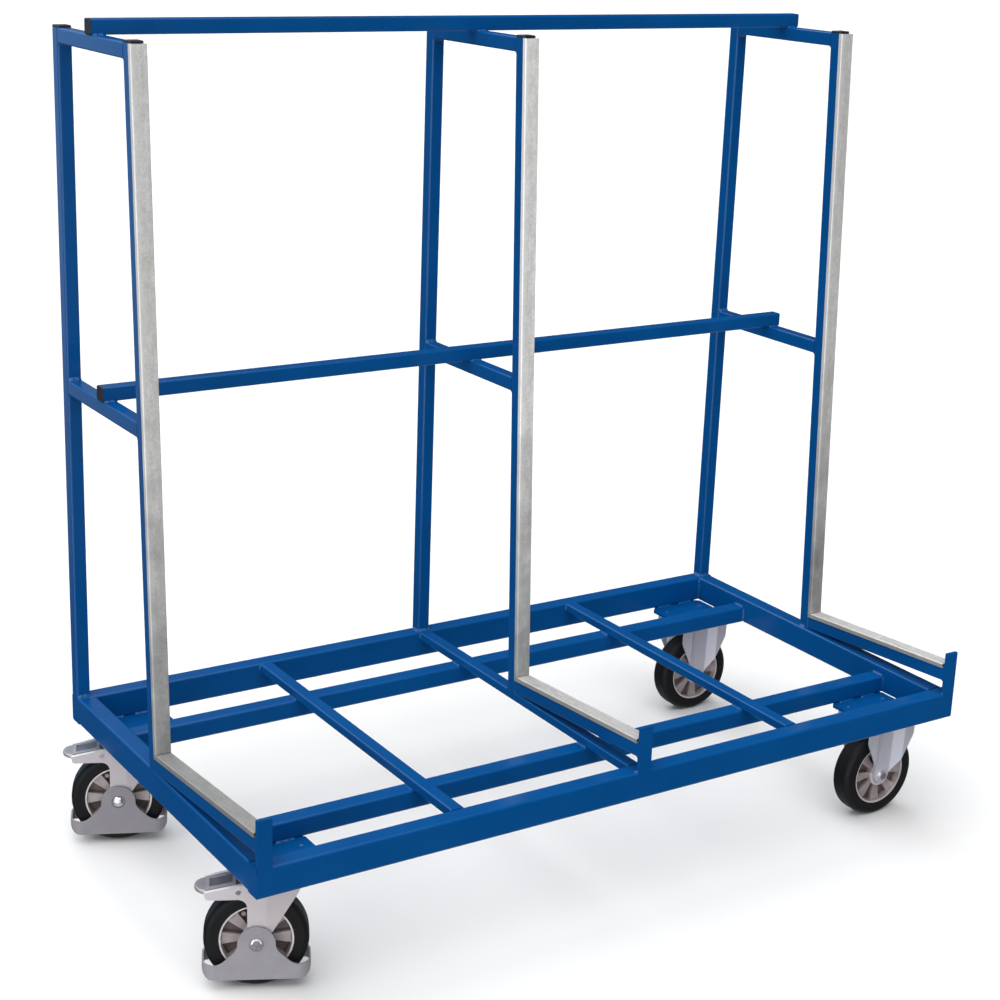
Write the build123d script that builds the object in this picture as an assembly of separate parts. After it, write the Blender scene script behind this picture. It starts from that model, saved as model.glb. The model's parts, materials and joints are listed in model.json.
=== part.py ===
from build123d import *
import os
from math import acos, atan2, cos, degrees, hypot, radians, sin, sqrt, tan

# Panel trolley: a welded base frame on four casters, with three upper frames that hold panels on edge.
# Millimetres. X runs along the length, the panels load from the front at -Y, Z is up from the floor.

# Base frame
frame_length = 1730.0
frame_width = 910.0
beam_height = 60.0
beam_width = 40.0
beam_wall = 3.0
beam_corner = 5.0
end_plate_thickness = 4.0
inner_rail_size = 40.0
inner_rail_wall = 2.5
inner_rail_corner = 5.0
cross_tube_width = 30.0
cross_tube_wall = 2.0
cross_tube_corner = 3.5
cross_tube_spacing = 420.0

# Upper frames
post_size = 30.0
post_wall = 2.0
post_corner = 4.0
post_top = 1722.0
lean_post_depth = 30.0
lean_post_corner = 3.5
lean_angle = 2.55
middle_tie_top = 1016.0
arm_slope = 3.9
bay_depth = 441.5
stop_thickness = 8.0
stop_height = 97.0
strip_width = 34.0
strip_depth = 10.0
strip_wall = 2.0
strip_lip = 7.0
strip_bend = 2.5
strip_top_gap = 0.5
strip_stop_gap = 4.5
strip_mitre_gap = 1.0

# Plastic plugs in the tube ends
plug_head = 4.5
rail_cap_head = 2.5
plug_edge = 1.5
plug_spigot = 12.0
plug_clearance = 0.8

# Casters and their mounts
caster_height = 245.0
caster_inset = 115.0
mount_plate_thickness = 8.0
mount_plate_length = 150.0
mount_plate_chamfer = 16.0
beam_overlap = 7.5
rail_offset = 87.0
rail_overlap = 15.5
caster_plate_length = 140.0
caster_plate_width = 110.0
bracket_plate_width = 116.0
caster_plate_thickness = 6.0
caster_plate_corner = 8.0
screw_spacing_x = 105.0
screw_spacing_y = 80.0
screw_diameter = 10.0
screw_head_width = 17.0
screw_head_height = 6.4
screw_end = -2.5
screw_hole_clearance = 0.5

# Wheels
wheel_diameter = 200.0
wheel_width = 50.0
tyre_shoulder = 12.0
rim_diameter = 142.0
rim_width = 48.0
rim_lip = 3.5
rim_draft = 4.0
rim_web = 8.0
rib_count = 8
rib_height = 32.0
rib_root_width = 11.0
rib_tip_width = 25.0
rim_boss_radius = 54.5
rim_boss_diameter = 9.0
rim_boss_height = 28.0
rim_boss_angle = 64.0
hub_diameter = 54.0
hub_width = 52.0
bearing_diameter = 42.0
bearing_width = 12.0
bearing_shield_depth = 1.0
bearing_seat_clearance = 0.02
axle_sleeve_diameter = 20.0
axle_diameter = 10.0
axle_nut_width = 17.0
axle_nut_height = 6.5
washer_diameter = 21.0
washer_thickness = 1.5
running_clearance = 0.05
least_corner = 0.4

# Pressed steel bracket of the fixed casters
sheet = 4.0
bracket_gap = 54.0
leg_lean = 6.0
leg_width = 136.0
leg_shoulder = 198.0
leg_shoulder_radius = 25.0
leg_tip_radius = 19.0
leg_web_half = 22.5
leg_wing_start = 40.0
leg_wing_step = 18.0
axle_seat_diameter = 27.0
bend_radius = 3.0

# Pressed steel fork of the swivel casters
trail = 55.0
fork_gap = 66.0
front_swivel_angle = -26.0
rear_swivel_angle = -23.5
fork_tip_radius = 17.0
fork_fold = 19.0
fork_fold_angle = 9.0
fork_top = 224.0
fork_front = 90.0
fork_front_cut = 12.0
fork_front_corner = 197.0
fork_arm_reach = 97.0
fork_arm_tip = 206.0
fork_arm_root = 24.0
fork_arm_drop = 3.0
fork_arm_draft = 2.0
fork_arm_bottom = 191.0
fork_arm_radius = 18.0
fork_arm_corner = 7.0
fork_arm_flange = 8.0
fork_web_back = 12.0
fork_web = 5.0
crown_radius = 48.0

# Swivel head
kingpin_diameter = 16.0
kingpin_head_diameter = 28.0
kingpin_head_height = 9.0
kingpin_play = 0.3
ball_diameter = 8.0
ball_count = 16
ball_circle = 36.0
race_width = 16.0
race_gap = 4.0
groove_clearance = 0.1
skirt_radius = 48.0
skirt_wall = 3.0
skirt_gap = 3.5

# Brake pedal and brake shoe
pedal_width = 53.0
pedal_reach = 116.0
pedal_tab = 21.0
pedal_thickness = 5.0
pedal_rise = 1.5
pedal_tab_drop = 1.0
pedal_tab_thickness = 9.0
pedal_tab_edge = 3.5
pedal_panel_length = 36.0
pedal_panel_width = 34.0
pedal_panel_corner = 5.0
pedal_panel_depth = 1.2
pedal_panel_x = -70.0
pedal_inner_end = 38.0
pedal_pin_x = -34.0
pedal_pin_z = 207.0
pedal_pin_diameter = 6.0
pedal_barrel = 9.0
pedal_heel_x = -48.0
pedal_heel_width = 8.0
pedal_heel_gap = 1.5
shoe_width = 40.0
shoe_gap = 4.0
shoe_thickness = 3.0
shoe_reach = 50.0
shoe_pin_x = 14.0
shoe_pin_z = 211.0
shoe_pin_diameter = 5.0
shoe_barrel = 10.0
pin_head = 2.0

# Plastic foot guard
guard_half_length = 103.0
guard_half_width = 43.0
guard_wall = 3.5
guard_corner = 28.0
guard_bottom = 25.0
guard_bottom_radius = 18.0
guard_band_top = 55.0
guard_flare_x = 52.0
guard_flare_height = 73.0
guard_flare_end = 84.0
guard_arch_radius = 36.0
guard_recess_diameter = 29.0
guard_recess_depth = 2.0
guard_boss_diameter = 30.0
guard_boss_clearance = 0.2
cap_diameter = 25.0
cap_height = 7.0

# Places worked out from the sizes above
half_length = frame_length / 2
half_width = frame_width / 2
frame_bottom = caster_height + mount_plate_thickness
frame_top = frame_bottom + beam_height
beam_inner_y = half_width - beam_width
end_inner_x = half_length - beam_width
cross_tube_height = beam_height - inner_rail_size
caster_x = half_length - caster_inset
caster_y = half_width - caster_inset
inner_rail_y = caster_y - rail_offset
frame_places = {"left": -half_length + post_size / 2, "middle": 0.0, "right": half_length - post_size / 2}
rear_post_front = half_width - post_size
stop_rear = -half_width + stop_thickness
lean_front_foot = stop_rear + bay_depth + strip_depth / cos(radians(lean_angle))
lean_rear_foot = lean_front_foot + lean_post_depth / cos(radians(lean_angle))
wheel_radius = wheel_diameter / 2
bracket_outer = bracket_gap / 2 + sheet
leg_outer = fork_gap / 2 + sheet
plate_bottom = caster_height - caster_plate_thickness
race_top = plate_bottom - (plate_bottom - fork_top - race_gap) / 2
ball_height = race_top - race_gap / 2
race_inner = ball_circle - race_width / 2
race_outer = ball_circle + race_width / 2
corners = [(sx, sy) for sx in (-1, 1) for sy in (-1, 1)]

# Directions in the side view: up the lean post, its front normal, along the arm, and the arm's top normal
lean_up = Vector(0, sin(radians(lean_angle)), cos(radians(lean_angle)))
lean_normal = Vector(0, -cos(radians(lean_angle)), sin(radians(lean_angle)))
arm_along = Vector(0, -cos(radians(arm_slope)), sin(radians(arm_slope)))
arm_normal = Vector(0, sin(radians(arm_slope)), cos(radians(arm_slope)))


def tube_section(width, height, wall, corner):
    inner_corner = max(corner - wall, least_corner)
    outer = RectangleRounded(width, height, corner)
    return outer - RectangleRounded(width - 2 * wall, height - 2 * wall, inner_corner)


def tube_along_x(y, z, width, height, wall, corner, half):
    plane = Plane(origin=(-half, y, z), x_dir=(0, 1, 0), z_dir=(1, 0, 0))
    return extrude(plane * tube_section(width, height, wall, corner), 2 * half)


def tube_along_y(x, z, y_low, y_high, width, height, wall, corner):
    plane = Plane(origin=(x, y_low, z), x_dir=(1, 0, 0), z_dir=(0, 1, 0))
    return extrude(plane * tube_section(width, height, wall, corner), y_high - y_low)


def keep_side(part, point, normal):
    """The piece of a part on the side of a plane that its normal points to."""
    plane = Plane(origin=point, x_dir=(1, 0, 0), z_dir=normal)
    return split(part, bisect_by=plane, keep=Keep.TOP)


def lean_rear(z):
    return lean_rear_foot + (z - frame_top) * tan(radians(lean_angle))


def lines_meet(point_a, along_a, point_b, along_b):
    """The point of the YZ side view where two lines cross."""
    gap = point_b - point_a
    turn = along_a.Y * along_b.Z - along_a.Z * along_b.Y
    return point_a + along_a * ((gap.Y * along_b.Z - gap.Z * along_b.Y) / turn)


# Base frame
def front_or_rear_beam(side):
    y = side * (half_width - beam_width / 2)
    z = frame_bottom + beam_height / 2
    return tube_along_x(y, z, beam_width, beam_height, beam_wall, beam_corner, half_length)


def end_beam(side):
    x = side * (half_length - beam_width / 2)
    z = frame_bottom + beam_height / 2
    return tube_along_y(x, z, -beam_inner_y, beam_inner_y, beam_width, beam_height, beam_wall, beam_corner)


def beam_end_plates():
    plates = []
    bore_width = beam_width - 2 * beam_wall - 2 * running_clearance
    bore_height = beam_height - 2 * beam_wall - 2 * running_clearance
    for sx, sy in corners:
        x = sx * (half_length - end_plate_thickness / 2)
        y = sy * (half_width - beam_width / 2)
        plate = RectangleRounded(bore_width, bore_height, max(beam_corner - beam_wall, least_corner))
        plane = Plane(origin=(x, y, frame_bottom + beam_height / 2), x_dir=(0, 1, 0), z_dir=(1, 0, 0))
        plates.append(extrude(plane * plate, end_plate_thickness / 2, both=True))
    return plates


def cross_tubes():
    z = frame_top - cross_tube_height / 2
    size = (cross_tube_width, cross_tube_height, cross_tube_wall, cross_tube_corner)
    places = (-cross_tube_spacing, 0, cross_tube_spacing)
    return [tube_along_y(x, z, -beam_inner_y, beam_inner_y, *size) for x in places]


def inner_rail(side):
    z = frame_bottom + inner_rail_size / 2
    size = (inner_rail_size, inner_rail_size, inner_rail_wall, inner_rail_corner)
    return tube_along_x(side * inner_rail_y, z, *size, end_inner_x)


def screw_places():
    return [(sx * screw_spacing_x / 2, sy * screw_spacing_y / 2) for sx, sy in corners]


def caster_mount_plates():
    plates = []
    y_outer = beam_inner_y + beam_overlap
    y_inner = inner_rail_y + inner_rail_size / 2 - rail_overlap
    for sx, sy in corners:
        outline = Rectangle(mount_plate_length, y_outer - y_inner)
        outline = chamfer(outline.vertices(), mount_plate_chamfer)
        shift_y = sy * ((y_outer + y_inner) / 2 - caster_y)
        plate = Pos(0, shift_y, 0) * extrude(outline, mount_plate_thickness)
        for x, y in screw_places():
            hole = Cylinder(screw_diameter / 2 + running_clearance, 3 * mount_plate_thickness)
            plate -= Pos(x, y, 0) * hole
        plates.append(Pos(sx * caster_x, sy * caster_y, caster_height) * plate)
    return plates


# Upper frames
def rear_post(x):
    y = half_width - post_size / 2
    section = Pos(x, y, frame_top) * tube_section(post_size, post_size, post_wall, post_corner)
    return extrude(section, post_top - frame_top)


def lean_post(x):
    foot_y = (lean_front_foot + lean_rear_foot) / 2
    plane = Plane(origin=Vector(x, foot_y, frame_top) - lean_up * post_size, x_dir=(1, 0, 0), z_dir=lean_up)
    section = plane * tube_section(post_size, lean_post_depth, post_wall, lean_post_corner)
    post = extrude(section, (post_top - frame_top) / lean_up.Z + 2 * post_size)
    post = keep_side(post, (x, 0, frame_top), (0, 0, 1))
    return keep_side(post, (x, 0, post_top), (0, 0, -1))


def post_ties():
    ties = []
    for x in frame_places.values():
        for top in (post_top, middle_tie_top):
            z = top - post_size / 2
            reach = lean_rear(z) - post_size
            tie = tube_along_y(x, z, reach, rear_post_front, post_size, post_size, post_wall, post_corner)
            ties.append(keep_side(tie, (x, lean_rear(z), z), -lean_normal))
    return ties


def arm(x):
    heel = Vector(x, lean_front_foot, frame_top)
    start = heel + arm_normal * (post_size / 2) - arm_along * post_size
    plane = Plane(origin=start, x_dir=(1, 0, 0), z_dir=arm_along)
    length = bay_depth / cos(radians(arm_slope)) + 4 * post_size
    tube = extrude(plane * tube_section(post_size, post_size, post_wall, post_corner), length)
    tube = keep_side(tube, heel, lean_normal)
    return keep_side(tube, (x, stop_rear, frame_top), (0, 1, 0))


def front_stops():
    bar = Box(post_size, stop_thickness, stop_height)
    y = -half_width + stop_thickness / 2
    return [Pos(x, y, frame_top + stop_height / 2) * bar for x in frame_places.values()]


def strip_section():
    """A C section whose two lips lie on the tube; its web is on the side of +Y."""
    outer = Rectangle(strip_width, strip_depth)
    outer = fillet(outer.vertices().sort_by(Axis.Y)[-2:], strip_bend)
    hollow = Rectangle(strip_width - 2 * strip_wall, strip_depth - 2 * strip_wall)
    slot = Pos(0, -strip_wall) * Rectangle(strip_width - 2 * strip_lip, strip_depth)
    return outer - hollow - slot


def mitre_line(x):
    """The inner and outer corner of the two strips where they meet."""
    heel = Vector(x, lean_front_foot, frame_top)
    arm_top = heel + arm_normal * post_size
    inner = lines_meet(heel, lean_up, arm_top, arm_along)
    lean_web = heel + lean_normal * strip_depth
    arm_web = arm_top + arm_normal * strip_depth
    return inner, lines_meet(lean_web, lean_up, arm_web, arm_along)


def lean_strip(x):
    inner, outer = mitre_line(x)
    start = inner + lean_normal * (strip_depth / 2) - lean_up * (2 * strip_depth)
    plane = Plane(origin=start, x_dir=(-1, 0, 0), z_dir=lean_up)
    strip = extrude(plane * strip_section(), (post_top - frame_top) / lean_up.Z + 2 * strip_depth)
    mitre_up = (outer - inner).cross(Vector(1, 0, 0)).normalized()
    strip = keep_side(strip, inner + mitre_up * (strip_mitre_gap / 2), mitre_up)
    return keep_side(strip, (x, 0, post_top - strip_top_gap), (0, 0, -1))


def arm_strip(x):
    inner, outer = mitre_line(x)
    start = inner + arm_normal * (strip_depth / 2) - arm_along * (2 * strip_depth)
    plane = Plane(origin=start, x_dir=(1, 0, 0), z_dir=arm_along)
    strip = extrude(plane * strip_section(), bay_depth / cos(radians(arm_slope)) + 4 * strip_depth)
    mitre_down = (outer - inner).cross(Vector(-1, 0, 0)).normalized()
    strip = keep_side(strip, inner + mitre_down * (strip_mitre_gap / 2), mitre_down)
    return keep_side(strip, (x, stop_rear + strip_stop_gap, frame_top), (0, 1, 0))


def lengthwise_rail(bottom):
    y = (rear_post_front + lean_rear(bottom)) / 2
    z = bottom + post_size / 2
    return tube_along_x(y, z, post_size, post_size, post_wall, post_corner, half_length)


def end_plug(width, depth, corner, head):
    """A plug at the origin: its head above the tube's end, its spigot down in the tube."""
    top = extrude(RectangleRounded(width, depth, corner), head)
    top = chamfer(top.edges().group_by(Axis.Z)[-1], min(plug_edge, head / 2))
    spigot_width = width - 2 * (post_wall + plug_clearance)
    spigot_depth = depth - 2 * (post_wall + plug_clearance)
    spigot = extrude(Rectangle(spigot_width, spigot_depth), -plug_spigot)
    return top + spigot


def tube_end_plugs():
    plugs = []
    lean_top = lean_rear(post_top) - lean_post_depth / cos(radians(lean_angle)) / 2
    rail_plug = end_plug(post_size, post_size, post_corner, rail_cap_head)
    for x in frame_places.values():
        square = end_plug(post_size, post_size, post_corner, plug_head)
        plugs.append(Pos(x, half_width - post_size / 2, post_top) * square)
        flat = end_plug(post_size, lean_post_depth, lean_post_corner, plug_head)
        plugs.append(Pos(x, lean_top, post_top) * flat)
    for bottom in (post_top, middle_tie_top):
        y = (rear_post_front + lean_rear(bottom)) / 2
        for side in (-1, 1):
            place = Pos(side * half_length, y, bottom + post_size / 2) * Rot(0, side * 90, 0)
            plugs.append(place * rail_plug)
    return plugs


# Casters
def caster_places():
    """Each caster's name and the place of its top plate's centre."""
    names = {(-1, -1): "front_left", (-1, 1): "rear_left", (1, -1): "front_right", (1, 1): "rear_right"}
    return {names[side]: (side[0] * caster_x, side[1] * caster_y) for side in names}


def caster_screws():
    head = extrude(RegularPolygon(screw_head_width / 2, 6, major_radius=False), -screw_head_height)
    reach = caster_plate_thickness + mount_plate_thickness + screw_end
    shank = extrude(Circle(screw_diameter / 2), reach)
    screw = head + shank
    screws = []
    for place_x, place_y in caster_places().values():
        screws += [Pos(place_x + x, place_y + y, plate_bottom) * screw for x, y in screw_places()]
    return screws


def caster_plate(width):
    outline = RectangleRounded(caster_plate_length, width, caster_plate_corner)
    plate = extrude(outline, caster_plate_thickness)
    for x, y in screw_places():
        hole = Cylinder(screw_diameter / 2 + screw_hole_clearance, 3 * caster_plate_thickness)
        plate -= Pos(x, y, 0) * hole
    return Pos(0, 0, plate_bottom) * plate


def across_wheel(part):
    """Turns a piece modelled about Z so that its axis is the wheel's axle."""
    return Pos(0, 0, wheel_radius) * Rot(90, 0, 0) * part


def rim():
    ring_outer = rim_diameter / 2
    ring_edge = ring_outer - rim_lip
    ring_points = [
        (ring_edge - rim_draft, 0),
        (ring_edge, rim_width / 2),
        (ring_outer, rim_width / 2),
        (ring_outer, -rim_width / 2),
        (ring_edge, -rim_width / 2),
    ]
    ring = revolve(make_face(Plane.XZ * Polyline(*ring_points, close=True)), Axis.Z)
    body = ring + Cylinder(hub_diameter / 2, hub_width) + Cylinder(ring_edge, rim_web)
    root = hub_diameter / 2 - rim_lip
    tip = ring_edge - rim_draft / 2
    rib_points = [
        (root, -rib_root_width / 2),
        (tip, -rib_tip_width / 2),
        (tip, rib_tip_width / 2),
        (root, rib_root_width / 2),
    ]
    rib = extrude(make_face(Polyline(*rib_points, close=True)), rib_height / 2, both=True)
    for turn in range(rib_count):
        body += Rot(0, 0, turn * 360 / rib_count) * rib
    boss = Cylinder(rim_boss_diameter / 2, rim_boss_height)
    body += Rot(0, 0, 180 - rim_boss_angle) * Pos(rim_boss_radius, 0, 0) * boss
    seat = Cylinder(bearing_diameter / 2 + bearing_seat_clearance, bearing_width)
    for side in (-1, 1):
        body -= Pos(0, 0, side * (hub_width - bearing_width) / 2) * seat
    body -= Cylinder(bearing_diameter / 2 - sheet, hub_width)
    return across_wheel(body)


def tyre():
    inner = rim_diameter / 2 + bearing_seat_clearance
    section = Pos((inner + wheel_radius) / 2, 0) * Rectangle(wheel_radius - inner, wheel_width)
    section = fillet(section.vertices().sort_by(Axis.X)[-2:], tyre_shoulder)
    return across_wheel(revolve(Plane.XZ * section, Axis.Z))


def bearings():
    outer = bearing_diameter / 2
    bore = axle_sleeve_diameter / 2 + running_clearance
    step = (outer - bore) / 4
    shield = Cylinder(outer - step, bearing_shield_depth) - Cylinder(bore + step, bearing_shield_depth)
    ring = Cylinder(outer, bearing_width) - Cylinder(bore, bearing_width)
    for side in (-1, 1):
        ring -= Pos(0, 0, side * (bearing_width - bearing_shield_depth) / 2) * shield
    shift = (hub_width - bearing_width) / 2
    return [across_wheel(Pos(0, 0, side * shift) * ring) for side in (-1, 1)]


def axle(gap, seat, end_cap):
    """Bolt, sleeve in the gap, washers and nut; seat is the washers' distance from the wheel's middle."""
    bolt_hole = axle_diameter / 2 + running_clearance
    sleeve = Cylinder(axle_sleeve_diameter / 2, gap) - Cylinder(bolt_hole, gap)
    washer = Cylinder(washer_diameter / 2, washer_thickness) - Cylinder(bolt_hole, washer_thickness)
    outer = seat + washer_thickness
    hexagon = RegularPolygon(axle_nut_width / 2, 6, major_radius=False)
    thread_end = 0 if end_cap else axle_nut_height
    shank = Pos(0, 0, -outer) * extrude(Circle(axle_diameter / 2), 2 * outer + thread_end)
    bolt = shank + Pos(0, 0, -outer) * extrude(hexagon, -axle_nut_height)
    if end_cap:
        cap_radius = (cap_height**2 + (cap_diameter / 2) ** 2) / (2 * cap_height)
        dome = Pos(0, 0, cap_height - cap_radius) * Sphere(cap_radius)
        nut = dome & extrude(Circle(cap_diameter / 2), cap_height)
    else:
        nut = extrude(hexagon - Circle(bolt_hole), axle_nut_height)
    pieces = [sleeve, bolt, Pos(0, 0, outer) * nut]
    pieces += [Pos(0, 0, side * (seat + washer_thickness / 2)) * washer for side in (-1, 1)]
    return [across_wheel(piece) for piece in pieces]


def leg_outline():
    """Side view of a fixed leg: straight below the plate, then narrowing to the round tip."""
    half = leg_width / 2
    rise = leg_shoulder - wheel_radius
    touch_angle = atan2(rise, half) - acos(leg_tip_radius / hypot(half, rise))
    touch_x = leg_tip_radius * cos(touch_angle)
    touch_z = wheel_radius + leg_tip_radius * sin(touch_angle)
    right = [(touch_x, touch_z), (half, leg_shoulder), (half, caster_height)]
    left = [(-x, z) for x, z in reversed(right)]
    outline = make_face(Polyline(*left, *right, close=True))
    shoulders = [v for v in outline.vertices() if abs(v.Y - leg_shoulder) < 1]
    outline = fillet(shoulders, leg_shoulder_radius)
    return outline + Pos(0, wheel_radius) * Circle(leg_tip_radius)


def leg_section():
    """Cross-section of a fixed leg's sheet: a flat web, and a wing a step further out on each side."""
    half = leg_width / 2
    step_angle = atan2(leg_wing_step, leg_wing_start - leg_web_half)
    shift = sheet * tan(step_angle / 2)
    outer = [(leg_web_half, 0), (leg_wing_start, leg_wing_step), (half, leg_wing_step)]
    inner = [(half, leg_wing_step - sheet), (leg_wing_start + shift, leg_wing_step - sheet)]
    right = outer + inner + [(leg_web_half + shift, -sheet)]
    left = [(-x, y) for x, y in reversed(right)]
    section = make_face(Polyline(*right, *left, close=True))
    return fillet([v for v in section.vertices() if abs(v.X) < half - 1], bend_radius)


def fixed_bracket():
    slope = Vector(0, leg_lean, plate_bottom - wheel_radius).normalized()
    start = Vector(0, bracket_outer, wheel_radius) - slope * wheel_radius
    leg = extrude(Plane(origin=start, x_dir=(1, 0, 0), z_dir=slope) * leg_section(), 2 * caster_height)
    leg &= extrude(Plane.XZ * leg_outline(), half_width, both=True)
    seat = Pos(0, 0, -bracket_outer) * extrude(Circle(axle_seat_diameter / 2), sheet)
    seat_bore = Cylinder(axle_seat_diameter / 2, 4 * bracket_outer)
    leg = leg - across_wheel(seat_bore) + across_wheel(seat)
    body = caster_plate(bracket_plate_width) + leg + Rot(0, 0, 180) * leg
    bolt_hole = Cylinder(axle_diameter / 2 + running_clearance, 4 * bracket_outer)
    return body - across_wheel(bolt_hole)


def sheet_line(x):
    """Outer face of the fork's side sheet: straight, then folded inwards towards the front."""
    return leg_outer - max(x - fork_fold, 0) * tan(radians(fork_fold_angle))


def fork_side_outline():
    left = -fork_tip_radius
    arm_top = fork_top - fork_arm_drop
    points = [
        (left, wheel_radius),
        (left, fork_arm_bottom),
        (-fork_arm_reach + fork_arm_draft, fork_arm_bottom),
        (-fork_arm_reach, fork_arm_tip),
        (-fork_arm_root, arm_top),
        (-fork_web_back, fork_top),
        (fork_front, fork_top),
        (fork_front - fork_front_cut, fork_front_corner),
        (fork_tip_radius, wheel_radius),
    ]
    outline = make_face(Polyline(*points, close=True))
    inner_corner = [v for v in outline.vertices() if abs(v.X - left) < 1 and abs(v.Y - fork_arm_bottom) < 1]
    outline = fillet(inner_corner, fork_arm_radius)
    tip_limit = fork_arm_draft - fork_arm_reach + 1
    tip_corner = [v for v in outline.vertices() if v.X < tip_limit and v.Y < fork_arm_tip - 1]
    outline = fillet(tip_corner, fork_arm_corner)
    return outline + Pos(0, wheel_radius) * Circle(fork_tip_radius)


def fork_side():
    front = (fork_front, sheet_line(fork_front))
    outer = [(-fork_arm_reach - sheet, leg_outer), (fork_fold, leg_outer), front]
    inner = [(x, y - sheet) for x, y in reversed(outer)]
    section = make_face(Polyline(*outer, *inner, close=True))
    section = fillet([v for v in section.vertices() if abs(v.X - fork_fold) < 1], bend_radius)
    side = extrude(section, fork_top + sheet)
    side &= extrude(Plane.XZ * fork_side_outline(), half_width, both=True)
    arm_top = fork_top - fork_arm_drop
    flange_points = [
        (-fork_arm_reach, fork_arm_tip),
        (-fork_arm_root, arm_top),
        (-fork_arm_root, arm_top - sheet),
        (-fork_arm_reach, fork_arm_tip - sheet),
    ]
    flange = extrude(Plane.XZ * make_face(Polyline(*flange_points, close=True)), -fork_arm_flange)
    return side + Pos(0, leg_outer - fork_arm_flange, 0) * flange


def ball_groove():
    ring = Pos(ball_circle, 0) * Circle(ball_diameter / 2 + groove_clearance)
    return Pos(0, 0, ball_height) * revolve(Plane.XZ * ring, Axis.Z)


def ring_between(inner, outer, low, high):
    return Pos(0, 0, low) * extrude(Circle(outer) - Circle(inner), high - low)


def swivel_fork():
    side = fork_side()
    web_points = [(-fork_web_back, leg_outer), (fork_fold, leg_outer), (fork_front, sheet_line(fork_front))]
    web_points += [(x, -y) for x, y in reversed(web_points)]
    web_plan = make_face(Polyline(*web_points, close=True)) + Pos(trail, 0) * Circle(crown_radius)
    web = Pos(0, 0, fork_top - fork_web) * extrude(web_plan, fork_web)
    race = ring_between(race_inner, race_outer, fork_top - fork_web, race_top - race_gap) - ball_groove()
    kingpin_hole = Cylinder(kingpin_diameter / 2 + running_clearance, 4 * fork_top)
    body = side + mirror(side, Plane.XZ) + web + Pos(trail, 0, 0) * race
    body -= Pos(trail, 0, 0) * kingpin_hole
    body -= across_wheel(Cylinder(axle_diameter / 2 + running_clearance, 4 * leg_outer))
    for x, z, diameter in fork_pin_sizes():
        hole = Rot(90, 0, 0) * Cylinder(diameter / 2 + bearing_seat_clearance, 4 * leg_outer)
        body -= Pos(x, 0, z) * hole
    return body


def fork_pin_sizes():
    return [(pedal_pin_x, pedal_pin_z, pedal_pin_diameter), (shoe_pin_x, shoe_pin_z, shoe_pin_diameter)]


def fork_pins(end_cap):
    """The axle with its parts, and the rivet pins of the pedal and the brake shoe."""
    pins = axle(fork_gap, guard_half_width - guard_recess_depth, end_cap)
    for x, z, diameter in fork_pin_sizes():
        pin = Cylinder(diameter / 2, 2 * leg_outer)
        head = Cylinder(diameter / 2 + pin_head, pin_head)
        for end in (-1, 1):
            pin += Pos(0, 0, end * (leg_outer + pin_head / 2)) * head
        pins.append(Pos(x, 0, z) * Rot(90, 0, 0) * pin)
    return pins


def swivel_top_plate():
    race = ring_between(race_inner, race_outer, race_top, plate_bottom) - ball_groove()
    skirt = ring_between(skirt_radius - skirt_wall, skirt_radius, fork_top + skirt_gap, plate_bottom)
    head_top = fork_top - fork_web - kingpin_play
    pin = Pos(0, 0, head_top) * extrude(Circle(kingpin_diameter / 2), caster_height - head_top)
    head = Pos(0, 0, head_top) * extrude(Circle(kingpin_head_diameter / 2), -kingpin_head_height)
    return caster_plate(caster_plate_width) + race + skirt + pin + head


def swivel_balls():
    ball = Pos(ball_circle, 0, ball_height) * Sphere(ball_diameter / 2)
    return [Pos(trail, 0, 0) * Rot(0, 0, turn * 360 / ball_count) * ball for turn in range(ball_count)]


def pedal_top(x):
    """Height of the pedal's tread, which lies along the fork's arms."""
    slope = (fork_top - fork_arm_drop - fork_arm_tip) / (fork_arm_reach - fork_arm_root)
    return fork_arm_tip + pedal_rise + (x + fork_arm_reach) * slope


def brake_pedal():
    """A tread with a stamped panel, a rounded end tab a step lower, and a heel that presses the shoe."""
    shoulder = -pedal_reach + pedal_tab
    tab_top = pedal_top(shoulder) - pedal_tab_drop
    heel_low = wheel_radius + shoe_top(pedal_heel_x + pedal_heel_width / 2) + pedal_heel_gap
    points = [
        (shoulder, pedal_top(shoulder)),
        (-pedal_inner_end, pedal_top(-pedal_inner_end)),
        (pedal_pin_x, pedal_pin_z),
        (pedal_heel_x + pedal_heel_width / 2, heel_low),
        (pedal_heel_x - pedal_heel_width / 2, heel_low),
        (pedal_heel_x - pedal_heel_width, pedal_top(pedal_heel_x - pedal_heel_width) - pedal_thickness),
        (shoulder, pedal_top(shoulder) - pedal_thickness),
    ]
    body = extrude(Plane.XZ * make_face(Polyline(*points, close=True)), pedal_width / 2, both=True)
    tab = extrude(Ellipse(pedal_tab, pedal_width / 2), pedal_tab_thickness)
    tab = Pos(shoulder, 0, tab_top - pedal_tab_thickness) * fillet(tab.edges(), pedal_tab_edge)
    root = Plane(origin=(shoulder + pedal_tab_edge, 0, 0), x_dir=(0, 1, 0), z_dir=(-1, 0, 0))
    body += split(tab, bisect_by=root, keep=Keep.TOP)
    barrel = Rot(90, 0, 0) * Cylinder(pedal_barrel / 2, pedal_width)
    body += Pos(pedal_pin_x, 0, pedal_pin_z) * barrel
    tread_slope = degrees(atan2(pedal_top(1) - pedal_top(0), 1))
    panel = RectangleRounded(pedal_panel_length, pedal_panel_width, pedal_panel_corner)
    place = Pos(pedal_panel_x, 0, pedal_top(pedal_panel_x)) * Rot(0, -tread_slope, 0)
    body -= place * extrude(panel, pedal_panel_depth, both=True)
    bore = Rot(90, 0, 0) * Cylinder(pedal_pin_diameter / 2 + running_clearance, 2 * pedal_width)
    return body - Pos(pedal_pin_x, 0, pedal_pin_z) * bore


def shoe_top(x):
    """Height above the axle of the brake shoe's upper face."""
    return sqrt((wheel_radius + shoe_gap + shoe_thickness) ** 2 - x**2)


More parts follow.
